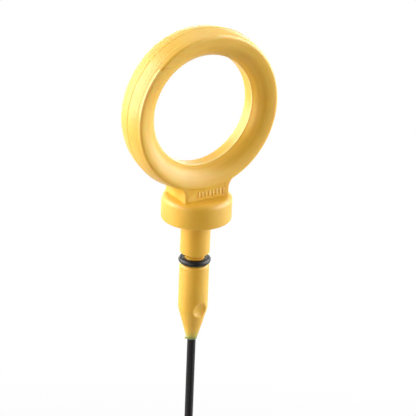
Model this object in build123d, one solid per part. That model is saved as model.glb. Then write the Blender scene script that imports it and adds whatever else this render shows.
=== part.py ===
from build123d import *
import os
from math import pi, sqrt

# Engine oil dipstick: a moulded handle with its plug, a sealing ring and the gauge rod.
# Millimetres. +Z is up along the rod, and the origin is on the rod's axis in the collar's underside,
# which seats on the guide tube's mouth. The finger ring lies in the XZ plane, its panel side faces -Y.

# Finger ring: a D-shaped section with a crowned outer band and a rounded bore
RING_HOLE_R = 14.25
RING_WALL = 5.85
RING_WIDTH = 9.7
BAND_CROWN = 1.0

# Neck between the collar and the ring, with a sunk panel in its front
NECK_HEIGHT = 1.9
NECK_WIDTH = 13.0
NECK_SETBACK = 0.3
NECK_EDGE_ROUND = 0.5
NECK_FLARE_R = 3.0
NECK_BITE = 0.8
FLARE_OVERLAP = 0.12
PANEL_BORDER = 1.2
PANEL_SILL = 0.5
PANEL_SINK = 0.25

# Collar that stops the dipstick on the tube's mouth
COLLAR_R = 9.05
COLLAR_HEIGHT = 6.6
COLLAR_TOP_ROUND = 1.4
COLLAR_FOOT_BEVEL = 0.5

# Plug that enters the tube: stem, seal groove, barrel and nose cone
PLUG_R = 3.85
STEM_LENGTH = 9.65
STEM_EDGE_BEVEL = 0.2
GROOVE_HEIGHT = 2.95
GROOVE_DEPTH = 1.32
BARREL_LENGTH = 12.8
BARREL_EDGE_BEVEL = 0.7
CONE_LENGTH = 9.1
CONE_BLEND_R = 3.0
CONE_TIP_WALL = 0.22

# Round dimples left by the pins that held the rod in the mould, front and back
DIMPLE_R = 2.2
DIMPLE_DEPTH = 0.65
DIMPLE_RIM_ROUND = 0.3

# Sealing ring, resting on the groove's lower wall
SEAL_SECTION = 1.65
SEAL_CLEARANCE = 0.02

# Rod of round wire, coined flat at its moulded-in top end and at its gauge end
ROD_R = 1.1
ROD_REACH = 280.0
ROD_TOP_INSET = 2.0
COINED_WIDTH = 3.4
COIN_RAMP = 5.0
COINED_TIP_LAND = 0.3
ANCHOR_LENGTH = 4.0
BLADE_LENGTH = 46.0
LOW_MARK_HEIGHT = 12.0
MARK_SPAN = 20.0
MARK_NOTCH_R = 0.5

# Levels and radii that follow from the sizes above
BAND_EDGE_R = RING_HOLE_R + RING_WALL
BAND_CROWN_R = BAND_EDGE_R + BAND_CROWN
RING_CENTRE_Z = COLLAR_HEIGHT + NECK_HEIGHT + BAND_CROWN_R
NECK_HALF_WIDTH = NECK_WIDTH / 2
NECK_HALF_DEPTH = RING_WIDTH / 2 - NECK_SETBACK
GROOVE_TOP_Z = -STEM_LENGTH
GROOVE_FOOT_Z = GROOVE_TOP_Z - GROOVE_HEIGHT
GROOVE_FLOOR_R = PLUG_R - GROOVE_DEPTH
CONE_TOP_Z = GROOVE_FOOT_Z - BARREL_LENGTH
CONE_TIP_Z = CONE_TOP_Z - CONE_LENGTH
CONE_TIP_R = ROD_R + CONE_TIP_WALL
ROD_TOP_Z = GROOVE_FOOT_Z - ROD_TOP_INSET
ROD_TIP_Z = -ROD_REACH
# Coining keeps the wire's section area, so the width sets the thickness
COINED_THICKNESS = pi * ROD_R**2 / COINED_WIDTH


def finger_ring():
    """The ring, spun from its D-shaped section about the ring's own axis."""
    half = RING_WIDTH / 2
    edge_z = RING_CENTRE_Z + BAND_EDGE_R
    band = ThreePointArc((-half, edge_z), (0, edge_z + BAND_CROWN), (half, edge_z))
    bore = EllipticalCenterArc((0, edge_z), half, RING_WALL, start_angle=180, arc_size=180)
    section = make_face(band + bore)
    return revolve(Plane.YZ * section, Axis((0, 0, RING_CENTRE_Z), (0, 1, 0)))


def band_radius(y):
    """Radius of the crowned outer band at a distance y from the ring's middle plane."""
    half = RING_WIDTH / 2
    crown_r = (half**2 + BAND_CROWN**2) / (2 * BAND_CROWN)
    return BAND_CROWN_R - crown_r + sqrt(crown_r**2 - y**2)


def neck_section(y):
    """Outline of the neck at depth y: straight sides that flare out onto the band's circle there."""
    foot_z = COLLAR_HEIGHT - COLLAR_TOP_ROUND
    circle_r = band_radius(y) - FLARE_OVERLAP
    inner_r = BAND_EDGE_R - NECK_BITE
    flare_x = NECK_HALF_WIDTH + NECK_FLARE_R
    reach = circle_r + NECK_FLARE_R
    drop = sqrt(reach**2 - flare_x**2)

    def towards_flare(radius):
        """Point at this radius on the ray from the ring's centre to the flare's centre."""
        return flare_x * radius / reach, RING_CENTRE_Z - drop * radius / reach

    shoulder = (NECK_HALF_WIDTH, RING_CENTRE_Z - drop)
    flare_end = towards_flare(circle_r)
    bite_end = towards_flare(inner_r)
    right = Polyline((0, foot_z), (NECK_HALF_WIDTH, foot_z), shoulder)
    right += TangentArc(shoulder, flare_end, tangent=(0, 1))
    right += Line(flare_end, bite_end)
    right += RadiusArc(bite_end, (0, RING_CENTRE_Z - inner_r), inner_r)
    outline = right + mirror(right, Plane.YZ)
    return Plane((0, y, 0), x_dir=(1, 0, 0), z_dir=(0, -1, 0)) * make_face(outline)


def neck():
    """The flared neck with rounded upright edges and the sunk panel in its front face."""
    body = loft([neck_section(y) for y in (-NECK_HALF_DEPTH, 0, NECK_HALF_DEPTH)])
    uprights = []
    for face in body.faces().filter_by(Axis.Y):
        curved = face.edges().filter_by(lambda edge: edge.geom_type != GeomType.LINE)
        uprights += face.edges().filter_by(Axis.Z)
        uprights += curved.filter_by(lambda edge: abs(edge.center().X) > NECK_HALF_WIDTH)
    body = fillet(uprights, NECK_EDGE_ROUND)
    panel_foot = COLLAR_HEIGHT + PANEL_SILL
    panel = Box(NECK_WIDTH - 2 * PANEL_BORDER, PANEL_SINK, RING_CENTRE_Z - panel_foot,
                align=(Align.CENTER, Align.MIN, Align.MIN))
    return body - Pos(0, -NECK_HALF_DEPTH, panel_foot) * panel


def turned_body():
    """Collar, stem, seal groove, barrel and nose cone, spun about the rod's axis."""
    collar_top = (COLLAR_R, COLLAR_HEIGHT)
    collar_foot = (COLLAR_R, 0)
    stem_edge = (PLUG_R, GROOVE_TOP_Z)
    barrel_edge = (PLUG_R, GROOVE_FOOT_Z)
    cone_top = (PLUG_R, CONE_TOP_Z)
    section = make_face(Polyline(
        (0, COLLAR_HEIGHT), collar_top, collar_foot, (PLUG_R, 0), stem_edge, (GROOVE_FLOOR_R, GROOVE_TOP_Z),
        (GROOVE_FLOOR_R, GROOVE_FOOT_Z), barrel_edge, cone_top, (CONE_TIP_R, CONE_TIP_Z), (0, CONE_TIP_Z),
        close=True))
    rounds = {collar_top: COLLAR_TOP_ROUND, cone_top: CONE_BLEND_R}
    bevels = {collar_foot: COLLAR_FOOT_BEVEL, stem_edge: STEM_EDGE_BEVEL, barrel_edge: BARREL_EDGE_BEVEL}
    for corner, radius in rounds.items():
        section = fillet(section.vertices().sort_by_distance((*corner, 0))[0], radius)
    for corner, width in bevels.items():
        section = chamfer(section.vertices().sort_by_distance((*corner, 0))[0], width)
    return revolve(Plane.XZ * section, Axis.Z)


def dimple(body):
    """The turned body with a ball-shaped dimple in front and behind, their rims rounded."""
    rim_y = sqrt(PLUG_R**2 - DIMPLE_R**2)
    ball_r = (DIMPLE_R**2 + DIMPLE_DEPTH**2) / (2 * DIMPLE_DEPTH)
    centre_y = rim_y - DIMPLE_DEPTH + ball_r
    for side in (-1, 1):
        body -= Pos(0, side * centre_y, CONE_TOP_Z) * Sphere(ball_r)
    rims = [edge for face in body.faces().filter_by(GeomType.SPHERE) for edge in face.edges()]
    return fillet(rims, DIMPLE_RIM_ROUND)


def coined_end(wire_z, end_z):
    """Flat end of the wire: the plate, and the two ramped blocks that take the round wire down to it."""
    way = 1 if end_z > wire_z else -1
    flat_z = wire_z + way * COIN_RAMP
    half = COINED_THICKNESS / 2
    wire_half = sqrt(ROD_R**2 - half**2)
    width_half = COINED_WIDTH / 2
    outline = make_face(Polyline((wire_half, wire_z), (width_half, flat_z), (width_half, end_z),
                                 (-width_half, end_z), (-width_half, flat_z), (-wire_half, wire_z), close=True))
    tip_corners = outline.vertices().sort_by_distance((0, end_z, 0))[:2]
    outline = fillet(tip_corners, width_half - COINED_TIP_LAND)
    plate = extrude(Plane.XZ * outline, half, both=True)
    clear = ROD_R + COINED_WIDTH
    past_end = end_z + way * clear
    ramp = Polyline((ROD_R, wire_z), (half, flat_z), (half, past_end), (clear, past_end), (clear, wire_z),
                    close=True)
    block = extrude(Plane.YZ * make_face(ramp), clear, both=True)
    return plate, [block, mirror(block, Plane.XZ)]


def gauge_notches():
    """Edge notches that mark the low and the full oil level on the gauge end."""
    notch = Rot(90, 0, 0) * Cylinder(MARK_NOTCH_R, COINED_THICKNESS * 2)
    levels = [ROD_TIP_Z + LOW_MARK_HEIGHT, ROD_TIP_Z + LOW_MARK_HEIGHT + MARK_SPAN]
    return [Pos(side * COINED_WIDTH / 2, 0, level) * notch for side in (-1, 1) for level in levels]


def rod():
    """The wire from its coined anchor inside the plug down to the gauge end."""
    anchor_foot = ROD_TOP_Z - ANCHOR_LENGTH
    blade_top = ROD_TIP_Z + BLADE_LENGTH
    wire = Cylinder(ROD_R, anchor_foot - blade_top, align=(Align.CENTER, Align.CENTER, Align.MIN))
    wire = Pos(0, 0, blade_top) * wire
    for wire_z, end_z in ((anchor_foot - COIN_RAMP, ROD_TOP_Z), (blade_top + COIN_RAMP, ROD_TIP_Z)):
        plate, blocks = coined_end(wire_z, end_z)
        wire = wire - blocks + plate
    return wire - gauge_notches()


def sealing_ring():
    """The rubber ring, round in section, sitting in the groove."""
    section_r = SEAL_SECTION / 2
    middle_r = GROOVE_FLOOR_R + SEAL_CLEARANCE + section_r
    return Pos(0, 0, GROOVE_FOOT_Z + SEAL_CLEARANCE + section_r) * Torus(middle_r, section_r)


def handle(wire):
    """The one-piece moulding: ring, neck, collar and plug, closed round the wire."""
    moulding = dimple(turned_body()) + neck() + finger_ring()
    return moulding - wire


gauge_rod = rod()
PARTS = {
    "handle": handle(gauge_rod),
    "sealing_ring": sealing_ring(),
    "gauge_rod": gauge_rod,
}

os.makedirs("parts", exist_ok=True)
for name, shape in PARTS.items():
    export_step(shape, f"parts/{name}.step")
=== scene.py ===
"""Looks of an engine oil dipstick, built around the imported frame.

One yellow moulding carries the finger ring, the neck, the collar and the plug. A black rubber ring sits in
the plug's groove and a black coated rod comes out of its nose. The studio is plain white with soft lamps.
"""

from __future__ import annotations

import logging
import math
from dataclasses import dataclass
from enum import Enum

import bmesh
import bpy
from bmesh.types import BMEdge, BMesh, BMVert
from bpy.types import Material, Node, NodeSocket, Object
from mathutils import Matrix, Vector

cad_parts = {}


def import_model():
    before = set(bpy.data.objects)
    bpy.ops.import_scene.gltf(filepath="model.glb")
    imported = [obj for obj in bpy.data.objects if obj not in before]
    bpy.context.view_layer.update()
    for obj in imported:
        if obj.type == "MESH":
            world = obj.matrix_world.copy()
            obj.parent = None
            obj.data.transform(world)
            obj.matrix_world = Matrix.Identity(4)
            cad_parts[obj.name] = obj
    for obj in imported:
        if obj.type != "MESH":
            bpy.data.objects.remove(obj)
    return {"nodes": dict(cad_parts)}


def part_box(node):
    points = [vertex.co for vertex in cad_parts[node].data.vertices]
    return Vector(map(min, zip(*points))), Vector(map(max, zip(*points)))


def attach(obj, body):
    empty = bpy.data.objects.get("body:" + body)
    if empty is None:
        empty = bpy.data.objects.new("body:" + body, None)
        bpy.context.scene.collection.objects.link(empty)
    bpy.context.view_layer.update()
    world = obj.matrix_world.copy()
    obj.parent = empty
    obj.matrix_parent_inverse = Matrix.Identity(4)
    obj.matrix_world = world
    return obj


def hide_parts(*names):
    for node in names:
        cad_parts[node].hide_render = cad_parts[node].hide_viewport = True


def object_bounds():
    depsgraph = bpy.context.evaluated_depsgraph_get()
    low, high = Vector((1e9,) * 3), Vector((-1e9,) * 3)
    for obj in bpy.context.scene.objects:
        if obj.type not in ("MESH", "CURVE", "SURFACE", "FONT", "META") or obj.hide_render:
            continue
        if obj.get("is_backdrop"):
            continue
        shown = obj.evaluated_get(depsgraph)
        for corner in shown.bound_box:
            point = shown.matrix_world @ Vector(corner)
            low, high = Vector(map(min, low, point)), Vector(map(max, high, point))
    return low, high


MM = 0.001
FULL_TURN = math.tau
BODY = "root"
WELD_DISTANCE = 0.002 * MM
ON_PLANE = 0.001 * MM
SHARP_ANGLE = math.radians(32.0)
JOIN_DISTANCE = 0.004 * MM
ROUND_PROFILE = 0.5
KEEP_MATERIAL = -1
ARC_SEGMENTS = 8
BLOCK_SEGMENTS = 3
# Pale paint per vertex: the flash along the ring's front crease, partly its own thin plastic and partly a
# painted highlight, plus painted highlights along the bore lines and the ribs' tops.
FLASH_AND_HIGHLIGHT_LAYER = "flash"
FLOOR_GAP = 0.5 * MM
PATTERN_LOW = 0.3
PATTERN_HIGH = 0.7
WHITE = (1.0, 1.0, 1.0, 1.0)
# The Mix node's sockets share their names, so its colour sockets are known by their places.
MIX_FIRST, MIX_SECOND, MIX_RESULT = 6, 7, 2

LOG = logging.getLogger("dipstick")
Colour = tuple[float, float, float]


class Joining(Enum):
    """How one closed mesh is combined with another."""

    ADD = "UNION"
    CUT = "DIFFERENCE"


class Facing(Enum):
    """The two sides of the handle, seen along Y."""

    FRONT = -1
    BACK = 1


def make_object(name: str, mesh: BMesh) -> Object:
    """Turn a finished bmesh into an object at the origin.

    Args:
        name: Name of the object and its mesh.
        mesh: The bmesh, which is freed.

    Returns:
        The new object, linked to the scene.
    """
    data = bpy.data.meshes.new(name)
    mesh.to_mesh(data)
    mesh.free()
    made = bpy.data.objects.new(name, data)
    bpy.context.scene.collection.objects.link(made)
    return made


def close_up(mesh: BMesh) -> None:
    """Merge doubled vertices and turn all faces outwards."""
    bmesh.ops.remove_doubles(mesh, verts=mesh.verts[:], dist=WELD_DISTANCE)
    bmesh.ops.recalc_face_normals(mesh, faces=mesh.faces[:])


def put_in_order(mesh: BMesh) -> None:
    """Sort a mesh by place, because joining leaves its elements in another order each time.

    Args:
        mesh: The joined mesh, whose shape stays as it is.
    """
    ranks = {vert: rank for rank, vert in enumerate(sorted(mesh.verts, key=lambda vert: vert.co[:]))}
    mesh.verts.sort(key=ranks.get)
    mesh.verts.index_update()
    for elements in (mesh.edges, mesh.faces):
        order = sorted(elements, key=lambda element: sorted(vert.index for vert in element.verts))
        ranks = {element: rank for rank, element in enumerate(order)}
        elements.sort(key=ranks.get)
        elements.index_update()


def combine(target: Object, tool: Object, how: Joining) -> None:
    """Add a closed mesh to another, or cut it out, and remove the tool.

    Args:
        target: The object whose mesh is replaced by the result.
        tool: The object that is added or cut out.
        how: Whether the tool is added or cut out.
    """
    modifier = target.modifiers.new(how.name, "BOOLEAN")
    modifier.operation = how.value
    modifier.solver = "EXACT"
    modifier.object = tool
    bpy.context.view_layer.update()
    result = target.evaluated_get(bpy.context.evaluated_depsgraph_get())
    old_mesh = target.data
    new_mesh = bpy.data.meshes.new_from_object(result)
    target.modifiers.remove(modifier)
    target.data = new_mesh
    new_mesh.name = target.name
    bpy.data.meshes.remove(old_mesh)
    bpy.data.objects.remove(tool)


def draw_wire(mesh: BMesh, points: list[Vector]) -> list[BMVert]:
    """Join a few points by straight edges.

    Args:
        mesh: The bmesh that gets the edges.
        points: The points in order.

    Returns:
        The new vertices in the same order.
    """
    verts = [mesh.verts.new(point) for point in points]
    for first, second in zip(verts, verts[1:]):
        mesh.edges.new((first, second))
    return verts


def round_corner(mesh: BMesh, corner: BMVert, radius: float) -> None:
    """Round a corner between two straight edges of a wire.

    Args:
        mesh: The bmesh that holds the wire.
        corner: The corner vertex.
        radius: Radius of the arc.
    """
    sides = [edge.other_vert(corner).co - corner.co for edge in corner.link_edges]
    tangent_length = radius / math.tan(sides[0].angle(sides[1]) / 2)
    bmesh.ops.bevel(
        mesh, geom=[corner], offset=tangent_length, offset_type="OFFSET", segments=ARC_SEGMENTS,
        profile=ROUND_PROFILE, affect="VERTICES", material=KEEP_MATERIAL)


def bevel_edges(mesh: BMesh, edges: list[BMEdge], width: float, segments: int) -> None:
    """Round solid edges with a circular profile that starts at a width from each edge."""
    bmesh.ops.bevel(
        mesh, geom=edges, offset=width, offset_type="OFFSET", segments=segments,
        profile=ROUND_PROFILE, affect="EDGES", material=KEEP_MATERIAL)


def block(size: Vector, centre: Vector, edge: float = 0.0) -> BMesh:
    """A block with plain or rounded edges.

    Args:
        size: Width, depth and height.
        centre: Middle of the block.
        edge: Width of the rounding at every edge, or 0 for plain edges.

    Returns:
        The closed block.
    """
    mesh = bmesh.new()
    place = Matrix.Translation(centre) @ Matrix.Diagonal((*size, 1.0))
    bmesh.ops.create_cube(mesh, size=1.0, matrix=place)
    if edge:
        bevel_edges(mesh, mesh.edges[:], edge, BLOCK_SEGMENTS)
    return mesh


@dataclass(frozen=True)
class MouldLine:
    """A fine raised line that a joint of the mould leaves around the ring."""

    y: float
    height: float
    # Share of painted highlight along the line's top.
    paleness_and_highlight: float = 0.0


@dataclass(frozen=True)
class FlashRun:
    """A stretch of flash along the ring's front crease, which starts sharply and fades out."""

    start_deg: float
    end_deg: float
    height: float

    def height_at(self, angle_deg: float) -> float:
        """Height of the flash at an angle from +X towards +Z, which is 0 outside the stretch."""
        share = (angle_deg - self.start_deg) / (self.end_deg - self.start_deg)
        return self.height * (1 - share) if 0 < share < 1 else 0.0


@dataclass(frozen=True)
class FingerRing:
    """The ring that a finger pulls: a D-shaped section spun about the ring's own axis."""

    centre_z: float
    hole_radius: float = 14.25 * MM
    wall: float = 5.85 * MM
    width: float = 9.7 * MM
    crown: float = 1.0 * MM
    crease_round: float = 0.7 * MM
    band_lines: tuple[MouldLine, ...] = (
        MouldLine(-3.3 * MM, 0.05 * MM), MouldLine(0.0, 0.13 * MM), MouldLine(3.3 * MM, 0.05 * MM))
    # The bore lines' last number is a painted highlight along their tops.
    bore_lines: tuple[MouldLine, ...] = (
        MouldLine(-1.5 * MM, 0.17 * MM, 0.8), MouldLine(1.5 * MM, 0.17 * MM, 0.3))
    land_half_width: float = 1.45 * MM
    land_sink: float = 0.2 * MM
    flash_runs: tuple[FlashRun, ...] = (FlashRun(138.0, 206.0, 0.24 * MM), FlashRun(86.0, 38.0, 0.12 * MM))
    flash_inset: float = 0.36 * MM
    flash_half_width: float = 0.34 * MM
    crown_steps: int = 48
    bore_segments: int = 112
    turn_steps: int = 224

    @property
    def half_width(self) -> float:
        """Half of the ring's width along Y."""
        return self.width / 2

    @property
    def edge_radius(self) -> float:
        """Radius at which the crowned band meets the rounded faces."""
        return self.hole_radius + self.wall

    @property
    def outer_radius(self) -> float:
        """Radius of the crown's highest line."""
        return self.edge_radius + self.crown

    @property
    def foot_z(self) -> float:
        """Height of the band's lowest line."""
        return self.centre_z - self.outer_radius

    @property
    def crown_arc_radius(self) -> float:
        """Radius of the arc that crowns the band."""
        return (self.half_width**2 + self.crown**2) / (2 * self.crown)

    def band_radius(self, y: float) -> float:
        """Radius of the outer band at a distance y from the middle plane."""
        arc = self.crown_arc_radius
        return self.outer_radius - arc + math.sqrt(arc**2 - y**2)

    def section(self) -> BMesh:
        """Draw the D-shaped section at the ring's top, with its rounded creases, land and mould lines.

        Returns:
            A closed wire in the YZ plane.
        """
        mesh = bmesh.new()
        edge_z = self.centre_z + self.edge_radius
        upright = Matrix(((0, 0, 1), (self.half_width, 0, 0), (0, self.wall, 0))).to_4x4()
        place = Matrix.Translation((0, 0, edge_z)) @ upright
        bmesh.ops.create_circle(mesh, cap_ends=False, segments=self.bore_segments, radius=1.0, matrix=place)
        bmesh.ops.bisect_plane(
            mesh, geom=mesh.verts[:] + mesh.edges[:], dist=WELD_DISTANCE, plane_co=(0, 0, edge_z),
            plane_no=(0, 0, 1), clear_outer=True)
        corner = mesh.verts.new((0, self.half_width, edge_z))
        crown_centre = Vector((0, 0, edge_z + self.crown - self.crown_arc_radius))
        half_angle = math.asin(self.half_width / self.crown_arc_radius)
        bmesh.ops.spin(
            mesh, geom=[corner], cent=crown_centre, axis=(1, 0, 0), angle=2 * half_angle,
            steps=self.crown_steps)
        bmesh.ops.remove_doubles(mesh, verts=mesh.verts[:], dist=WELD_DISTANCE)
        creases = [vert for vert in mesh.verts if abs(abs(vert.co.y) - self.half_width) < ON_PLANE]
        crowded = [vert for vert in mesh.verts if vert not in creases
                   and any((vert.co - crease.co).length < self.crease_round for crease in creases)]
        bmesh.ops.dissolve_verts(mesh, verts=crowded)
        for crease in creases:
            round_corner(mesh, crease, self.crease_round)
        band = [vert for vert in mesh.verts if vert.co.z > edge_z]
        bore = [vert for vert in mesh.verts if vert.co.z < edge_z - self.wall / 2]
        for vert in bore:
            if abs(vert.co.y) < self.land_half_width:
                vert.co.z = edge_z - self.wall + self.land_sink
        for verts, lines, way in ((band, self.band_lines, 1), (bore, self.bore_lines, -1)):
            for line in lines:
                nearest = min(verts, key=lambda vert: abs(vert.co.y - line.y))
                nearest.co.z += way * line.height
        return mesh

    def outwards(self, place: Vector) -> Vector:
        """The way from the ring's own axis to a point."""
        return Vector((place.x, 0, place.z - self.centre_z))

    def flash_rise(self, place: Vector) -> float:
        """How far the flash along the front crease stands up at a point.

        Args:
            place: A point on the ring.

        Returns:
            The rise there, or 0 away from the flash.
        """
        out = self.outwards(place)
        ridge_y = Facing.FRONT.value * (self.half_width - self.flash_inset)
        share = 1 - abs(place.y - ridge_y) / self.flash_half_width
        if share < 0 or out.length < self.edge_radius - self.crease_round:
            return 0.0
        angle = math.degrees(math.atan2(out.z, out.x)) % 360
        return share * sum(run.height_at(angle) for run in self.flash_runs)

    def paleness_and_highlight(self, place: Vector) -> float:
        """How pale the plastic is painted at a point: the flash along the front crease, partly its own thin
        plastic and partly a painted highlight, and painted highlights along the bore's mould lines.

        Args:
            place: A point on the moulding.

        Returns:
            The share, from 0 to 1.
        """
        if self.outwards(place).length > self.hole_radius + self.wall / 2:
            return self.flash_rise(place) / max(run.height for run in self.flash_runs)
        return max(
            line.paleness_and_highlight * max(0.0, 1 - abs(place.y - line.y) / self.flash_half_width)
            for line in self.bore_lines)

    def raise_flash(self, mesh: BMesh) -> None:
        """Raise the flash of the spun ring as a low ridge along its front crease."""
        for vert in mesh.verts:
            vert.co += self.outwards(vert.co).normalized() * self.flash_rise(vert.co)

    def build(self) -> Object:
        """Spin the section into the closed ring.

        Returns:
            The ring.
        """
        mesh = self.section()
        bmesh.ops.spin(
            mesh, geom=mesh.verts[:] + mesh.edges[:], cent=(0, 0, self.centre_z), axis=(0, 1, 0),
            angle=FULL_TURN, steps=self.turn_steps, use_merge=True)
        close_up(mesh)
        self.raise_flash(mesh)
        return make_object("finger_ring", mesh)


@dataclass(frozen=True)
class Neck:
    """The short neck between the collar and the ring, with a sunk panel and a row of plain ribs in front."""

    ring: FingerRing
    collar_top: float
    foot_z: float
    width: float = 13.0 * MM
    setback: float = 0.06 * MM
    edge_round: float = 0.28 * MM
    flare_radius: float = 3.0 * MM
    bite: float = 0.8 * MM
    overlap: float = 0.12 * MM
    parting_height: float = 0.08 * MM
    parting_half_width: float = 0.2 * MM
    panel_border: float = 1.2 * MM
    panel_sill: float = 0.5 * MM
    panel_sink: float = 0.09 * MM
    panel_edge: float = 0.07 * MM
    rib_count: int = 8
    rib_width: float = 0.5 * MM
    rib_height: float = 1.5 * MM
    rib_relief: float = 0.11 * MM
    rib_edge: float = 0.085 * MM
    # Pale paint on the ribs' tops, a painted highlight.
    rib_painted_highlight: float = 0.4
    rib_pitch: float = 1.05 * MM
    rib_row_x: float = 1.25 * MM
    rib_gap: float = 0.3 * MM
    edge_segments: int = 5
    flare_steps: int = 14
    depth_steps: int = 6

    @property
    def half_width(self) -> float:
        """Half of the neck's width along X."""
        return self.width / 2

    @property
    def half_depth(self) -> float:
        """Half of the neck's depth along Y."""
        return self.ring.half_width - self.setback

    def section(self, mesh: BMesh, y: float) -> list[BMEdge]:
        """Draw the neck's outline at one depth, with sides that flare out onto the band there.

        Args:
            mesh: The bmesh that gets the outline.
            y: Depth of the section.

        Returns:
            The edges of the closed outline.
        """
        ridge = self.parting_height if abs(y) < ON_PLANE else 0.0
        half_width = self.half_width + ridge
        band = self.ring.band_radius(y) - self.overlap
        flare_x = self.half_width + self.flare_radius
        reach = band + self.flare_radius
        drop = math.sqrt(reach**2 - flare_x**2)
        flare_z = self.ring.centre_z - drop
        sweep = math.atan2(drop, flare_x)
        inner = band - self.bite
        bite_end = Vector((flare_x * inner / reach, y, self.ring.centre_z - drop * inner / reach))
        known = set(mesh.edges)
        foot = draw_wire(mesh, [Vector((0, y, self.foot_z)), Vector((half_width, y, self.foot_z))])
        shoulder = mesh.verts.new((half_width, y, flare_z))
        mesh.edges.new((foot[-1], shoulder))
        arc = bmesh.ops.spin(
            mesh, geom=[shoulder], cent=(flare_x, y, flare_z), axis=(0, 1, 0), angle=sweep,
            steps=self.flare_steps)
        flare_end = arc["geom_last"][0]
        tail = draw_wire(mesh, [bite_end, Vector((0, y, self.ring.centre_z - inner))])
        mesh.edges.new((flare_end, tail[0]))
        half = [edge for edge in mesh.edges if edge not in known]
        verts = list(dict.fromkeys(vert for edge in half for vert in edge.verts))
        bmesh.ops.mirror(
            mesh, geom=verts + half, matrix=Matrix.Identity(4), merge_dist=WELD_DISTANCE, axis="X")
        return [edge for edge in mesh.edges if edge not in known]

    def build(self) -> Object:
        """Bridge the sections, round the upright edges, sink the panel and set the ribs on its floor.

        Returns:
            The neck, which reaches into the collar and into the ring.
        """
        mesh = bmesh.new()
        span = [self.half_depth * step / self.depth_steps for step in range(1, self.depth_steps + 1)]
        parting = [-self.parting_half_width, 0.0, self.parting_half_width]
        depths = [-y for y in reversed(span)] + parting + span
        loops = [self.section(mesh, y) for y in depths]
        for first, second in zip(loops, loops[1:]):
            bmesh.ops.bridge_loops(mesh, edges=first + second)
        rims = loops[0] + loops[-1]
        for loop in (loops[0], loops[-1]):
            bmesh.ops.contextual_create(mesh, geom=loop)
        close_up(mesh)
        bevel_edges(mesh, [edge for edge in rims if edge.is_valid], self.edge_round, self.edge_segments)
        bmesh.ops.recalc_face_normals(mesh, faces=mesh.faces[:])
        neck = make_object("neck", mesh)
        combine(neck, self.panel(), Joining.CUT)
        for index in range(self.rib_count):
            combine(neck, self.rib(index), Joining.ADD)
        return neck

    def paleness_and_highlight(self, place: Vector) -> float:
        """How pale the plastic is painted at a point: only the ribs' tops, as a painted highlight where they
        would catch the light.

        Args:
            place: A point on the moulding.

        Returns:
            The share, from 0 to 1.
        """
        on_rib = self.collar_top < place.z < self.ring.centre_z - self.ring.edge_radius
        proud = Facing.FRONT.value * place.y - self.half_depth
        return self.rib_painted_highlight if on_rib and proud > (self.rib_relief - self.panel_sink) / 2 else 0.0

    def panel(self) -> Object:
        """The block that sinks the panel into the front face.

        Returns:
            The block, open towards the ring.
        """
        foot = self.collar_top + self.panel_sill
        top = self.ring.centre_z - self.ring.hole_radius
        size = Vector((self.width - 2 * self.panel_border, 2 * self.panel_sink, top - foot))
        centre = Vector((0, Facing.FRONT.value * self.half_depth, (foot + top) / 2))
        return make_object("panel", block(size, centre, self.panel_edge))

    def rib(self, index: int) -> Object:
        """One plain rib on the panel's floor.

        Args:
            index: Place in the row, from the left.

        Returns:
            The rib.
        """
        floor_y = Facing.FRONT.value * (self.half_depth - self.panel_sink)
        x = self.rib_row_x + (index - (self.rib_count - 1) / 2) * self.rib_pitch
        z = self.collar_top + self.panel_sill + self.rib_gap + self.rib_height / 2
        size = Vector((self.rib_width, 2 * self.rib_relief, self.rib_height))
        return make_object("rib", block(size, Vector((x, floor_y, z)), self.rib_edge))


@dataclass(frozen=True)
class Corner:
    """One corner of a spun outline."""

    radius: float
    height: float
    rounding: float = 0.0


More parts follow.
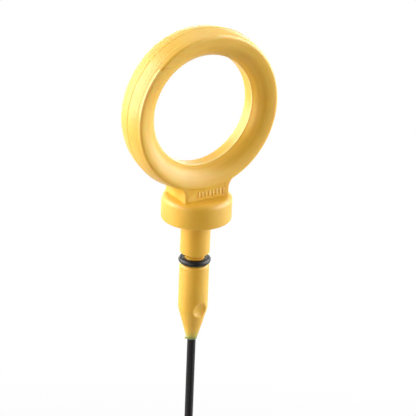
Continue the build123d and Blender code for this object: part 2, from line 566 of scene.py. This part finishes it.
@dataclass(frozen=True)
class TurnedBody:
    """Collar, stem, seal groove, barrel and nose cone, spun about the rod's axis."""

    collar_radius: float
    cone_tip_z: float
    collar_height: float = 6.6 * MM
    collar_top_round: float = 1.4 * MM
    collar_flat_margin: float = 0.3 * MM
    collar_foot_round: float = 0.5 * MM
    stem_fillet: float = 0.25 * MM
    plug_radius: float = 3.85 * MM
    stem_length: float = 9.65 * MM
    stem_edge_round: float = 0.2 * MM
    groove_height: float = 2.95 * MM
    groove_depth: float = 1.32 * MM
    groove_fillet: float = 0.15 * MM
    ledge_drop: float = 1.2 * MM
    ledge_reach: float = 0.95 * MM
    ledge_round: float = 0.12 * MM
    barrel_edge_round: float = 0.8 * MM
    cone_length: float = 9.1 * MM
    cone_blend: float = 3.0 * MM
    tip_radius: float = 1.32 * MM
    tip_round: float = 0.1 * MM
    dimple_radius: float = 2.0 * MM
    dimple_depth: float = 0.4 * MM
    dimple_squash: float = 1.2
    parting_height: float = 0.012 * MM
    turn_steps: int = 192
    dimple_cuts: int = 22
    dimple_margin: float = 0.9 * MM
    dimple_rim: float = 0.4 * MM
    dimple_passes: int = 12
    dimple_softening: float = 0.5

    @property
    def cone_top_z(self) -> float:
        """Height at which the barrel turns into the nose cone."""
        return self.cone_tip_z + self.cone_length

    def cone_radius(self, z: float) -> float:
        """Radius of the nose cone at a height z along the rod's axis."""
        share = (z - self.cone_tip_z) / self.cone_length
        return self.tip_radius + (self.plug_radius - self.tip_radius) * share

    def outline(self) -> list[Corner]:
        """List the corners from the collar's top to the nose's tip.

        Returns:
            The corners, with the two ends of the dimples' bed among them.
        """
        groove_top = -self.stem_length
        groove_foot = groove_top - self.groove_height
        floor_radius = self.plug_radius - self.groove_depth
        recess_radius = floor_radius - self.ledge_reach
        ledge = groove_top - self.ledge_drop
        flat_radius = self.collar_radius - self.collar_top_round - self.collar_flat_margin
        bed = self.dimple_radius + self.dimple_margin
        bed_foot = self.cone_top_z - bed
        return [
            Corner(0.0, self.collar_height),
            Corner(flat_radius, self.collar_height),
            Corner(self.collar_radius, self.collar_height, self.collar_top_round),
            Corner(self.collar_radius, 0.0, self.collar_foot_round),
            Corner(self.plug_radius, 0.0, self.stem_fillet),
            Corner(self.plug_radius, groove_top, self.stem_edge_round),
            Corner(recess_radius, groove_top, self.groove_fillet),
            Corner(recess_radius, ledge, self.groove_fillet),
            Corner(floor_radius, ledge, self.ledge_round),
            Corner(floor_radius, groove_foot, self.groove_fillet),
            Corner(self.plug_radius, groove_foot, self.barrel_edge_round),
            Corner(self.plug_radius, self.cone_top_z + bed),
            Corner(self.plug_radius, self.cone_top_z, self.cone_blend),
            Corner(self.cone_radius(bed_foot), bed_foot),
            Corner(self.tip_radius, self.cone_tip_z, self.tip_round),
            Corner(0.0, self.cone_tip_z),
        ]

    def build(self) -> Object:
        """Spin the outline, raise the parting line and press in the dimples.

        Returns:
            The closed body.
        """
        mesh = bmesh.new()
        corners = self.outline()
        verts = draw_wire(mesh, [Vector((corner.radius, 0, corner.height)) for corner in corners])
        for vert, corner in zip(verts, corners):
            if corner.rounding:
                round_corner(mesh, vert, corner.rounding)
        bed = self.dimple_radius + self.dimple_margin + ON_PLANE
        in_bed = [edge for edge in mesh.edges
                  if all(abs(vert.co.z - self.cone_top_z) < bed for vert in edge.verts)
                  and edge.calc_length() > self.dimple_margin]
        bmesh.ops.subdivide_edges(mesh, edges=in_bed, cuts=self.dimple_cuts)
        bmesh.ops.spin(
            mesh, geom=mesh.verts[:] + mesh.edges[:], cent=(0, 0, 0), axis=(0, 0, 1), angle=FULL_TURN,
            steps=self.turn_steps, use_merge=True)
        close_up(mesh)
        for vert in mesh.verts:
            if abs(vert.co.y) < ON_PLANE and abs(vert.co.x) > self.tip_radius:
                vert.co.x += math.copysign(self.parting_height, vert.co.x)
        for side in Facing:
            self.press_dimple(mesh, side)
        return make_object("turned_body", mesh)

    def press_dimple(self, mesh: BMesh, side: Facing) -> None:
        """Press one shallow dimple into the barrel's foot with a squashed ball and soften its rim.

        Args:
            mesh: The spun body.
            side: The side that gets the dimple.
        """
        rim_y = math.sqrt(self.plug_radius**2 - self.dimple_radius**2)
        ball = (self.dimple_radius**2 + self.dimple_depth**2) / (2 * self.dimple_depth)
        centre = Vector((0, side.value * (rim_y - self.dimple_depth + ball), self.cone_top_z))
        upright = Vector((1, 1, self.dimple_squash))
        flatten = Vector((1, 1, 1 / self.dimple_squash))
        near = []
        for vert in mesh.verts:
            offset = (vert.co - centre) * upright
            if abs(offset.length - ball) < self.dimple_rim:
                near.append(vert)
            if offset.length < ball:
                vert.co = centre + offset.normalized() * ball * flatten
        for _ in range(self.dimple_passes):
            bmesh.ops.smooth_vert(
                mesh, verts=near, factor=self.dimple_softening, use_axis_x=True, use_axis_y=True,
                use_axis_z=True)


@dataclass(frozen=True)
class FlashNub:
    """The scrap of flash that the parting line left at the nose's tip."""

    reach: float = 0.62 * MM
    height: float = 0.85 * MM
    thickness: float = 0.3 * MM
    above_tip: float = 0.1 * MM
    root_share: float = 0.85
    slope_allowance: float = 0.2 * MM
    end_thickness: float = 0.4
    end_height: float = 0.45
    end_drop: float = 0.1
    edge_round: float = 0.025 * MM
    edge_segments: int = 2

    def build(self, body: TurnedBody) -> Object:
        """Make the thin fin on the nose's left side, which tapers to its outer end.

        Args:
            body: The turned body that carries it.

        Returns:
            The fin, which reaches into the nose.
        """
        root = body.tip_radius * self.root_share
        length = self.reach + body.tip_radius - root + self.slope_allowance
        size = Vector((length, self.thickness, self.height))
        foot = body.cone_tip_z + self.above_tip
        centre = Vector((-(root + size.x / 2), 0, foot + size.z / 2))
        mesh = block(size, centre)
        outer = [vert for vert in mesh.verts if vert.co.x < centre.x]
        pivot = centre - Vector((0, 0, size.z * self.end_drop))
        bmesh.ops.scale(
            mesh, verts=outer, vec=(1.0, self.end_thickness, self.end_height),
            space=Matrix.Translation(-pivot))
        bevel_edges(mesh, mesh.edges[:], self.edge_round, self.edge_segments)
        return make_object("flash_nub", mesh)


@dataclass(frozen=True)
class HandleMoulding:
    """The one-piece yellow moulding, joined from its ring, neck, turned body and scrap of flash."""

    ring: FingerRing
    neck: Neck
    body: TurnedBody
    nub: FlashNub

    @classmethod
    def from_frame(cls) -> HandleMoulding:
        """Take the moulding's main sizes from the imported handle.

        Returns:
            The moulding, ready to build.
        """
        low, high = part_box("handle")
        ring = FingerRing(centre_z=high.z - high.x)
        body = TurnedBody(collar_radius=high.y, cone_tip_z=low.z)
        neck = Neck(
            ring=ring, collar_top=body.collar_height, foot_z=body.collar_height - body.collar_top_round)
        return cls(ring, neck, body, FlashNub())

    def build(self, rod: Object) -> Object:
        """Join the parts into one closed mesh with the rod's bed cut out.

        Args:
            rod: The gauge rod that is moulded in.

        Returns:
            The moulding.
        """
        moulding = self.body.build()
        moulding.name = "handle_moulding"
        for part in (self.neck.build(), self.ring.build(), self.nub.build(self.body)):
            combine(moulding, part, Joining.ADD)
        combine(moulding, merged_copy(rod), Joining.CUT)
        self.settle(moulding)
        return moulding

    def settle(self, moulding: Object) -> None:
        """Clean the joined mesh, mark its pale flash and its painted highlights, and shade all but the sharp
        edges smoothly.

        Args:
            moulding: The joined moulding.
        """
        mesh = bmesh.new()
        mesh.from_mesh(moulding.data)
        put_in_order(mesh)
        bmesh.ops.remove_doubles(mesh, verts=mesh.verts[:], dist=JOIN_DISTANCE)
        bmesh.ops.dissolve_degenerate(mesh, edges=mesh.edges[:], dist=JOIN_DISTANCE)
        bmesh.ops.holes_fill(mesh, edges=[edge for edge in mesh.edges if edge.is_boundary])
        bmesh.ops.recalc_face_normals(mesh, faces=mesh.faces[:])
        # Pale flash, partly a painted highlight, and the painted highlights of the bore lines and the ribs'
        # tops.
        flash = mesh.verts.layers.float.new(FLASH_AND_HIGHLIGHT_LAYER)
        for vert in mesh.verts:
            vert[flash] = max(self.ring.paleness_and_highlight(vert.co), self.neck.paleness_and_highlight(vert.co))
        for face in mesh.faces:
            face.smooth = True
        for edge in mesh.edges:
            edge.smooth = edge.calc_face_angle(math.pi) < SHARP_ANGLE
        mesh.to_mesh(moulding.data)
        mesh.free()


def merged_copy(node: Object) -> Object:
    """Copy a frame node with its loose triangles merged and without the normals that came with it.

    Args:
        node: The frame node.

    Returns:
        The copy, as a closed mesh.
    """
    mesh = bmesh.new()
    mesh.from_mesh(node.data)
    bmesh.ops.remove_doubles(mesh, verts=mesh.verts[:], dist=WELD_DISTANCE)
    copy = make_object(f"{node.name}_bed", mesh)
    own_normals = copy.data.attributes.get("custom_normal")
    if own_normals:
        copy.data.attributes.remove(own_normals)
    return copy


@dataclass(frozen=True)
class ColourStop:
    """One colour of a ramp and its place from 0 to 1."""

    position: float
    colour: Colour


@dataclass(frozen=True)
class Grain:
    """A noise pattern: cells per metre, octaves, and the strength and height of a bump made from it."""

    scale: float
    detail: float
    strength: float = 0.0
    height: float = 0.0


class Sheet:
    """Lays out the nodes of one material."""

    def __init__(self, name: str) -> None:
        """Start a material that holds only its output.

        Args:
            name: Name of the material.
        """
        self.material = bpy.data.materials.new(name)
        self.material.use_nodes = True
        self.tree = self.material.node_tree
        self.tree.nodes.clear()
        self.output = self.tree.nodes.new("ShaderNodeOutputMaterial")

    def node(self, kind: str, *first: object, **named: object) -> Node:
        """Add a node and set its sockets to values or to other nodes' outputs.

        Args:
            kind: Blender's name of the node type.
            *first: What goes into its first sockets.
            **named: What goes into other sockets, by name with underscores for spaces.

        Returns:
            The new node.
        """
        made = self.tree.nodes.new(kind)
        sockets = list(zip(made.inputs, first))
        sockets += [(made.inputs[name.replace("_", " ")], value) for name, value in named.items()]
        for socket, value in sockets:
            if isinstance(value, NodeSocket):
                self.tree.links.new(value, socket)
            else:
                socket.default_value = value
        return made

    def place(self) -> NodeSocket:
        """The surface point in the frame's own coordinates."""
        return self.node("ShaderNodeTexCoord").outputs["Object"]

    def noise(self, grain: Grain, vector: NodeSocket | None = None) -> NodeSocket:
        """A noise pattern from 0 to 1, on the plain place unless a vector is given."""
        made = self.node(
            "ShaderNodeTexNoise", Scale=grain.scale, Detail=grain.detail, Vector=vector or self.place())
        return made.outputs["Fac"]

    def remap(
            self, value: NodeSocket, start: float, end: float, low: float = 0.0,
            high: float = 1.0) -> NodeSocket:
        """Map the range from start to end evenly onto the range from low to high."""
        made = self.node(
            "ShaderNodeMapRange", Value=value, From_Min=start, From_Max=end, To_Min=low, To_Max=high)
        return made.outputs["Result"]

    def spread(self, pattern: NodeSocket, low: float = 0.0, high: float = 1.0) -> NodeSocket:
        """Map a pattern's middle range onto the range from low to high."""
        return self.remap(pattern, PATTERN_LOW, PATTERN_HIGH, low, high)

    def math(self, operation: str, first: NodeSocket, second: NodeSocket) -> NodeSocket:
        """Combine two values.

        Args:
            operation: Blender's name of the operation.
            first: The first value.
            second: The second value.

        Returns:
            The result.
        """
        made = self.node("ShaderNodeMath", first, second)
        made.operation = operation
        return made.outputs[0]

    def ramp(self, value: NodeSocket, stops: tuple[ColourStop, ...]) -> NodeSocket:
        """Colour a value by a ramp.

        Args:
            value: The value, from 0 to 1.
            stops: The ramp's colours, from low to high.

        Returns:
            The colour.
        """
        made = self.node("ShaderNodeValToRGB", Fac=value)
        elements = made.color_ramp.elements
        while len(elements) < len(stops):
            elements.new(0.5)
        for element, stop in zip(elements, stops):
            element.position = stop.position
            element.color = (*stop.colour, 1.0)
        return made.outputs["Color"]

    def blend(self, share: NodeSocket, first: object, second: object) -> NodeSocket:
        """Mix two colours.

        Args:
            share: How much of the second colour shows.
            first: A colour or a colour output.
            second: A colour or a colour output.

        Returns:
            The mixed colour.
        """
        made = self.tree.nodes.new("ShaderNodeMix")
        made.data_type = "RGBA"
        self.tree.links.new(share, made.inputs["Factor"])
        for socket, value in ((made.inputs[MIX_FIRST], first), (made.inputs[MIX_SECOND], second)):
            if isinstance(value, NodeSocket):
                self.tree.links.new(value, socket)
            else:
                socket.default_value = (*value, 1.0)
        return made.outputs[MIX_RESULT]

    def bump(self, grain: Grain, pattern: NodeSocket, below: NodeSocket | None = None) -> NodeSocket:
        """Turn a pattern into a bumped normal.

        Args:
            grain: The bump's strength and height.
            pattern: The pattern, from 0 to 1.
            below: A normal that this one adds to.

        Returns:
            The bumped normal.
        """
        made = self.node("ShaderNodeBump", Height=pattern, Strength=grain.strength, Distance=grain.height)
        if below is not None:
            self.tree.links.new(below, made.inputs["Normal"])
        return made.outputs["Normal"]

    def mix(self, share: NodeSocket, first: Node, second: Node) -> Node:
        """Mix two shaders, where the share is how much of the second shows."""
        return self.node("ShaderNodeMixShader", share, first.outputs[0], second.outputs[0])

    def finish(self, shader: Node) -> Material:
        """Connect the last shader and return the material."""
        self.tree.links.new(shader.outputs[0], self.output.inputs["Surface"])
        return self.material


@dataclass(frozen=True)
class NoseTint:
    """How the plastic's colour darkens at the nose's tip, where its wall is thin over the black rod."""

    height: float = 4.8 * MM
    unevenness: float = 0.3 * MM
    cloud: Grain = Grain(1100.0, 2.0)
    stops: tuple[ColourStop, ...] = (
        ColourStop(0.0, (0.10, 0.13, 0.05)), ColourStop(0.12, (0.28, 0.32, 0.06)),
        ColourStop(0.3, (0.58, 0.46, 0.055)), ColourStop(0.6, (0.76, 0.49, 0.055)),
        ColourStop(1.0, (0.78, 0.478, 0.045)))
    # Pale green of the tip's flash and the cone's left edge beside it: partly the flash's own tint, partly
    # painted light shining through the thin plastic.
    nub: Colour = (0.56, 0.68, 0.24)
    nub_start: float = 1.38 * MM
    nub_end: float = 1.5 * MM
    nub_height: float = 1.0 * MM


@dataclass(frozen=True)
class MouldedPlastic:
    """Satin yellow plastic with faint mottling, and fine streaks that run round the ring."""

    tip_z: float
    ring_foot_z: float
    colour: Colour = (0.79, 0.476, 0.04)
    deep_colour: Colour = (0.73, 0.43, 0.033)
    streak_colour: Colour = (0.88, 0.60, 0.1)
    # Pale colour of the flash, partly a painted highlight, and of the painted highlights on the bore lines
    # and the ribs' tops.
    flash_and_highlight_colour: Colour = (0.93, 0.80, 0.36)
    nose: NoseTint = NoseTint()
    roughness: float = 0.43
    roughness_range: float = 0.05
    gloss: float = 0.6
    refraction: float = 1.55
    translucency: float = 0.65
    scatter_depth: float = 0.7 * MM
    scatter_reach: Colour = (1.0, 0.5, 0.2)
    mottle: Grain = Grain(140.0, 3.0)
    haze: Grain = Grain(420.0, 4.0)
    flow: Grain = Grain(90.0, 2.0, 0.35, 0.06 * MM)
    pores: Grain = Grain(5200.0, 3.0, 0.12, 0.012 * MM)
    streaks: Grain = Grain(2100.0, 3.0, 0.45, 0.06 * MM)
    streak_stretch: float = 0.03
    streak_share: float = 0.45
    streak_fade: float = 1.0 * MM

    def nose_colour(self, sheet: Sheet, body: NodeSocket) -> NodeSocket:
        """Darken the body colour towards the tip, and paint the flash there and the cone's left edge beside
        it pale green, partly the flash's own tint and partly painted light shining through the thin plastic.

        Args:
            sheet: The material's sheet.
            body: The colour of the rest of the moulding.

        Returns:
            The colour of the whole moulding.
        """
        axes = sheet.node("ShaderNodeSeparateXYZ", Vector=sheet.place()).outputs
        cloud = sheet.spread(sheet.noise(self.nose.cloud), -self.nose.unevenness, self.nose.unevenness)
        height = sheet.math("ADD", axes["Z"], cloud)
        rise = sheet.remap(height, self.tip_z, self.tip_z + self.nose.height)
        thin = sheet.remap(height, self.tip_z + self.nose.height, self.tip_z + self.nose.height / 2)
        colour = sheet.blend(thin, body, sheet.ramp(rise, self.nose.stops))
        nub_x = sheet.remap(axes["X"], -self.nose.nub_start, -self.nose.nub_end)
        nub_top = self.tip_z + self.nose.nub_height
        low = sheet.remap(axes["Z"], nub_top, nub_top - (self.nose.nub_end - self.nose.nub_start))
        return sheet.blend(low, colour, sheet.blend(nub_x, colour, self.nose.nub))

    def material(self) -> Material:
        """Build the plastic's nodes.

        Returns:
            The material.
        """
        sheet = Sheet("yellow_plastic_satin")
        mottle = sheet.spread(sheet.noise(self.mottle))
        body = sheet.blend(mottle, self.colour, self.deep_colour)
        round_ring = sheet.node(
            "ShaderNodeMapping", Vector=sheet.place(), Scale=(self.streak_stretch, 1.0, self.streak_stretch))
        streak = sheet.noise(self.streaks, round_ring.outputs["Vector"])
        z = sheet.node("ShaderNodeSeparateXYZ", Vector=sheet.place()).outputs["Z"]
        on_ring = sheet.remap(z, self.ring_foot_z, self.ring_foot_z + self.streak_fade)
        pale = sheet.math("MULTIPLY", sheet.spread(streak, high=self.streak_share), on_ring)
        streaked = sheet.blend(pale, body, self.streak_colour)
        # The pale layer paints the flash, partly as a painted highlight, and painted highlights on the bore
        # lines and the ribs' tops.
        flash = sheet.tree.nodes.new("ShaderNodeAttribute")
        flash.attribute_name = FLASH_AND_HIGHLIGHT_LAYER
        colour = self.nose_colour(sheet, sheet.blend(flash.outputs["Fac"], streaked, self.flash_and_highlight_colour))
        rough = sheet.spread(
            sheet.noise(self.haze), self.roughness - self.roughness_range,
            self.roughness + self.roughness_range)
        flow = sheet.bump(self.flow, sheet.noise(self.flow))
        lines = sheet.bump(self.streaks, sheet.math("MULTIPLY", streak, on_ring), flow)
        pores = sheet.bump(self.pores, sheet.noise(self.pores), lines)
        shader = sheet.node(
            "ShaderNodeBsdfPrincipled", Base_Color=colour, Roughness=rough, Normal=pores,
            IOR=self.refraction, Specular_IOR_Level=self.gloss, Subsurface_Weight=self.translucency,
            Subsurface_Radius=self.scatter_reach, Subsurface_Scale=self.scatter_depth)
        return sheet.finish(shader)


@dataclass(frozen=True)
class BlackFinish:
    """A black surface with faint clouds and a fine grain, which may be drawn out along the rod."""

    name: str
    colour: Colour
    cloud_colour: Colour
    cloud: Grain
    roughness: float
    haze: Grain
    pores: Grain
    gloss: float
    stretch: float = 1.0
    smoother: float = 0.06
    rougher: float = 0.08
    refraction: float = 1.5

    def material(self) -> Material:
        """Build the finish's nodes.

        Returns:
            The material.
        """
        sheet = Sheet(self.name)
        along = sheet.node(
            "ShaderNodeMapping", Vector=sheet.place(), Scale=(1.0, 1.0, self.stretch)).outputs["Vector"]
        cloud = sheet.spread(sheet.noise(self.cloud, along))
        colour = sheet.blend(cloud, self.colour, self.cloud_colour)
        rough = sheet.spread(
            sheet.noise(self.haze, along), self.roughness - self.smoother, self.roughness + self.rougher)
        pores = sheet.bump(self.pores, sheet.noise(self.pores, along))
        shader = sheet.node(
            "ShaderNodeBsdfPrincipled", Base_Color=colour, Roughness=rough, Normal=pores,
            IOR=self.refraction, Specular_IOR_Level=self.gloss)
        return sheet.finish(shader)


@dataclass(frozen=True)
class SealRubber(BlackFinish):
    """Satin black rubber with a fine dusty grain."""

    name: str = "black_rubber_satin"
    colour: Colour = (0.0045, 0.0045, 0.005)
    cloud_colour: Colour = (0.009, 0.009, 0.0095)
    cloud: Grain = Grain(900.0, 4.0)
    roughness: float = 0.36
    haze: Grain = Grain(1500.0, 3.0)
    pores: Grain = Grain(6500.0, 3.0, 0.25, 0.01 * MM)
    gloss: float = 0.42


@dataclass(frozen=True)
class CoatedWire(BlackFinish):
    """Semi-gloss black coating on drawn wire, with faint streaks along it."""

    name: str = "black_coated_wire"
    colour: Colour = (0.006, 0.006, 0.007)
    cloud_colour: Colour = (0.012, 0.0115, 0.0125)
    cloud: Grain = Grain(2400.0, 3.0)
    roughness: float = 0.5
    haze: Grain = Grain(1200.0, 4.0)
    pores: Grain = Grain(2600.0, 3.0, 0.2, 0.012 * MM)
    gloss: float = 0.25
    stretch: float = 0.04


def dress(piece: Object, finish: Material) -> None:
    """Give a piece its finish and log its faces.

    Args:
        piece: The piece or frame node.
        finish: Its material.
    """
    piece.data.materials.clear()
    piece.data.materials.append(finish)
    LOG.info("%s: %d faces, %s", piece.name, len(piece.data.polygons), finish.name)


def seen_directly(tree: bpy.types.NodeTree) -> NodeSocket:
    """The share of rays that show the background: camera, glossy and transmission rays.

    Args:
        tree: The node tree that needs it.

    Returns:
        An output that is 1 on those rays and 0 on the rest.
    """
    path = tree.nodes.new("ShaderNodeLightPath")
    total = path.outputs["Is Camera Ray"]
    for name in ("Is Glossy Ray", "Is Transmission Ray"):
        highest = tree.nodes.new("ShaderNodeMath")
        highest.operation = "MAXIMUM"
        tree.links.new(total, highest.inputs[0])
        tree.links.new(path.outputs[name], highest.inputs[1])
        total = highest.outputs[0]
    return total


@dataclass(frozen=True)
class Softbox:
    """One large soft lamp that faces the handle."""

    name: str
    azimuth_deg: float
    elevation_deg: float
    width: float
    height: float
    power: float
    tint: Colour = (1.0, 1.0, 1.0)
    distance: float = 0.9

    def build(self, target: Vector) -> None:
        """Place the lamp on a sphere round the target.

        Args:
            target: The point that it faces.
        """
        lamp = bpy.data.lights.new(self.name, "AREA")
        lamp.shape = "RECTANGLE"
        lamp.size = self.width
        lamp.size_y = self.height
        lamp.energy = self.power
        lamp.color = self.tint
        made = bpy.data.objects.new(self.name, lamp)
        made.matrix_world = facing_place(target, self.azimuth_deg, self.elevation_deg, self.distance)
        made.visible_camera = False
        bpy.context.scene.collection.objects.link(made)


def direction(azimuth_deg: float, elevation_deg: float) -> Vector:
    """Unit vector towards a viewer or lamp, where azimuth 0 is in front on -Y and 90 on +X."""
    a, e = math.radians(azimuth_deg), math.radians(elevation_deg)
    return Vector((math.sin(a) * math.cos(e), -math.cos(a) * math.cos(e), math.sin(e)))


def facing_place(target: Vector, azimuth_deg: float, elevation_deg: float, distance: float) -> Matrix:
    """Place on a sphere round a target, with -Z towards the target.

    Args:
        target: The point that is faced.
        azimuth_deg: Angle round Z, as in direction.
        elevation_deg: Angle above the horizon.
        distance: Radius of the sphere.

    Returns:
        The placement.
    """
    back = direction(azimuth_deg, elevation_deg)
    turn = (-back).to_track_quat("-Z", "Y").to_matrix().to_4x4()
    return Matrix.Translation(target + back * distance) @ turn


def plain_sheet(name: str, finish: str, colour: Colour, place: Matrix) -> Object:
    """A flat sheet of one plain colour, unseen by the camera itself.

    Args:
        name: Name of the sheet.
        finish: Name of its material.
        colour: Its colour.
        place: Where a sheet of two by two metres goes, and how much smaller it becomes.

    Returns:
        The sheet.
    """
    mesh = bmesh.new()
    bmesh.ops.create_grid(mesh, x_segments=1, y_segments=1, size=1.0, matrix=place)
    made = make_object(name, mesh)
    sheet = Sheet(finish)
    matt = sheet.node("ShaderNodeBsdfDiffuse", Color=(*colour, 1.0))
    made.data.materials.append(sheet.finish(matt))
    made.visible_camera = False
    return made


@dataclass(frozen=True)
class ShadeCard:
    """A large grey card behind the camera, which keeps the surfaces that face it from washing out."""

    azimuth_deg: float = -33.0
    elevation_deg: float = 23.0
    distance: float = 1.0
    half_size: float = 0.8
    colour: Colour = (0.1, 0.1, 0.1)

    def build(self, target: Vector) -> None:
        """Place the card.

        Args:
            target: The point that it faces.
        """
        place = facing_place(target, self.azimuth_deg, self.elevation_deg, self.distance)
        size = Matrix.Diagonal((self.half_size, self.half_size, 1.0, 1.0))
        card = plain_sheet("shade_card", "grey_card", self.colour, place @ size)
        card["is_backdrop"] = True


@dataclass(frozen=True)
class FloorFlag:
    """A dark cloth on the floor before the object, which shows only in its reflections."""

    azimuth_deg: float = -33.0
    near: float = 0.2
    far: float = 1.3
    half_width: float = 0.45
    above_floor: float = 0.002
    colour: Colour = (0.05, 0.05, 0.05)

    def build(self, floor_z: float) -> None:
        """Lay the cloth.

        Args:
            floor_z: Height of the floor.
        """
        half_length = (self.far - self.near) / 2
        middle = direction(self.azimuth_deg, 0.0) * (self.near + half_length)
        middle.z = floor_z + self.above_floor
        turn = Matrix.Rotation(math.radians(self.azimuth_deg), 4, "Z")
        size = Matrix.Diagonal((self.half_width, half_length, 1.0, 1.0))
        place = Matrix.Translation(middle) @ turn @ size
        flag = plain_sheet("floor_flag", "dark_cloth", self.colour, place)
        flag.visible_diffuse = False
        flag.visible_shadow = False
        flag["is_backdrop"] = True


@dataclass(frozen=True)
class PhotoCamera:
    """The camera at the photograph's viewing angle, for a square image."""

    azimuth_deg: float = -33.37
    elevation_deg: float = 23.31
    roll_deg: float = 2.28
    distance: float = 564.0 * MM
    across: float = 3.04 * MM
    upward: float = 2.23 * MM
    focal_px: float = 2212.9
    image_px: float = 416.0
    sensor_mm: float = 36.0
    nearest: float = 0.01
    farthest: float = 50.0

    def build(self) -> None:
        """Place the camera and make it the scene's own."""
        data = bpy.data.cameras.new("photo_camera")
        data.sensor_width = self.sensor_mm
        data.lens = self.focal_px / self.image_px * self.sensor_mm
        data.clip_start = self.nearest
        data.clip_end = self.farthest
        back = direction(self.azimuth_deg, self.elevation_deg)
        level = (-back).cross(Vector((0, 0, 1))).normalized()
        turn = Matrix.Rotation(math.radians(self.roll_deg), 3, back)
        right = turn @ level
        up = turn @ level.cross(-back)
        place = Matrix((right, up, back)).transposed().to_4x4()
        place.translation = right * self.across + up * self.upward + back * self.distance
        camera = bpy.data.objects.new("photo_camera", data)
        camera.matrix_world = place
        bpy.context.scene.collection.objects.link(camera)
        bpy.context.scene.camera = camera


@dataclass(frozen=True)
class Studio:
    """Pale floor, soft lamps round the object, a grey card, a dark cloth and a white surround."""

    floor_z: float
    floor_half_size: float = 6.0
    floor_colour: Colour = (0.38, 0.38, 0.38)
    floor_grain: Grain = Grain(6.0, 2.0)
    floor_tone: float = 0.99
    near_lift: float = 0.55
    far_lift: float = 1.0
    near_distance: float = 0.1
    far_distance: float = 0.45
    surround: float = 0.1
    target: Vector = Vector((0, 0, 10 * MM))
    card: ShadeCard = ShadeCard()
    flag: FloorFlag = FloorFlag()
    lamps: tuple[Softbox, ...] = (
        Softbox("left_softbox", -124.0, 18.0, 1.0, 1.0, 16.8),
        Softbox("left_front_softbox", -66.0, 3.0, 0.45, 0.35, 2.4, (1.0, 0.82, 0.62)),
        Softbox("right_softbox", 68.0, 15.0, 1.1, 0.9, 16.0),
        Softbox("back_softbox", 157.0, -5.0, 0.9, 0.4, 5.0),
        Softbox("top_softbox", 135.0, 60.0, 0.6, 0.5, 1.6),
    )

    def build(self) -> None:
        """Set up the floor, the world, the lamps, the card, the cloth and the view transform."""
        self.floor()
        self.world()
        for lamp in self.lamps:
            lamp.build(self.target)
        self.card.build(self.target)
        self.flag.build(self.floor_z)
        bpy.context.scene.view_settings.view_transform = "Standard"

    def floor(self) -> None:
        """Lay a wide pale floor that keeps the object's shadow and runs out to white."""
        mesh = bmesh.new()
        bmesh.ops.create_grid(
            mesh, x_segments=1, y_segments=1, size=self.floor_half_size,
            matrix=Matrix.Translation((0, 0, self.floor_z)))
        floor = make_object("floor", mesh)
        floor.data.materials.append(self.floor_finish())
        floor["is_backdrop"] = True

    def floor_finish(self) -> Material:
        """Build the floor's nodes: matt as it lights, whiter with distance as it is seen, clear from below.

        Returns:
            The material.
        """
        sheet = Sheet("pale_floor")
        tone = sheet.spread(sheet.noise(self.floor_grain))
        darker = tuple(self.floor_tone * part for part in self.floor_colour)
        colour = sheet.blend(tone, self.floor_colour, darker)
        matt = sheet.node("ShaderNodeBsdfDiffuse", Color=colour)
        flat = sheet.node("ShaderNodeMapping", Vector=sheet.place(), Scale=(1.0, 1.0, 0.0))
        away = sheet.node("ShaderNodeVectorMath", flat.outputs["Vector"])
        away.operation = "LENGTH"
        lift = sheet.remap(
            away.outputs["Value"], self.near_distance, self.far_distance, self.near_lift, self.far_lift)
        share = sheet.math("MULTIPLY", lift, seen_directly(sheet.tree))
        glow = sheet.node("ShaderNodeEmission", Color=WHITE, Strength=1.0)
        below = sheet.node("ShaderNodeNewGeometry").outputs["Backfacing"]
        clear = sheet.node("ShaderNodeBsdfTransparent")
        return sheet.finish(sheet.mix(below, sheet.mix(share, matt, glow), clear))

    def world(self) -> None:
        """Surround the object with white where it is seen, and soft grey where it only lights."""
        world = bpy.data.worlds.new("white_surround")
        world.use_nodes = True
        tree = world.node_tree
        shade = tree.nodes["Background"]
        level = tree.nodes.new("ShaderNodeMapRange")
        level.inputs["To Min"].default_value = self.surround
        level.inputs["To Max"].default_value = 1.0
        tree.links.new(seen_directly(tree), level.inputs["Value"])
        shade.inputs["Color"].default_value = WHITE
        tree.links.new(level.outputs["Result"], shade.inputs["Strength"])
        bpy.context.scene.world = world


def main() -> None:
    """Dress the frame, build the moulding, set up the studio and report each piece."""
    logging.basicConfig(level=logging.INFO, format="%(name)s: %(message)s")
    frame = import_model()
    cad_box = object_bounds()
    nodes = frame["nodes"]
    moulding = HandleMoulding.from_frame()
    handle = moulding.build(nodes["gauge_rod"])
    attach(handle, BODY)
    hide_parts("handle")
    plastic = MouldedPlastic(tip_z=moulding.body.cone_tip_z, ring_foot_z=moulding.ring.foot_z)
    dress(handle, plastic.material())
    dress(nodes["sealing_ring"], SealRubber().material())
    dress(nodes["gauge_rod"], CoatedWire().material())
    PhotoCamera().build()
    Studio(floor_z=cad_box[0].z - FLOOR_GAP).build()


if __name__ == "__main__":
    main()
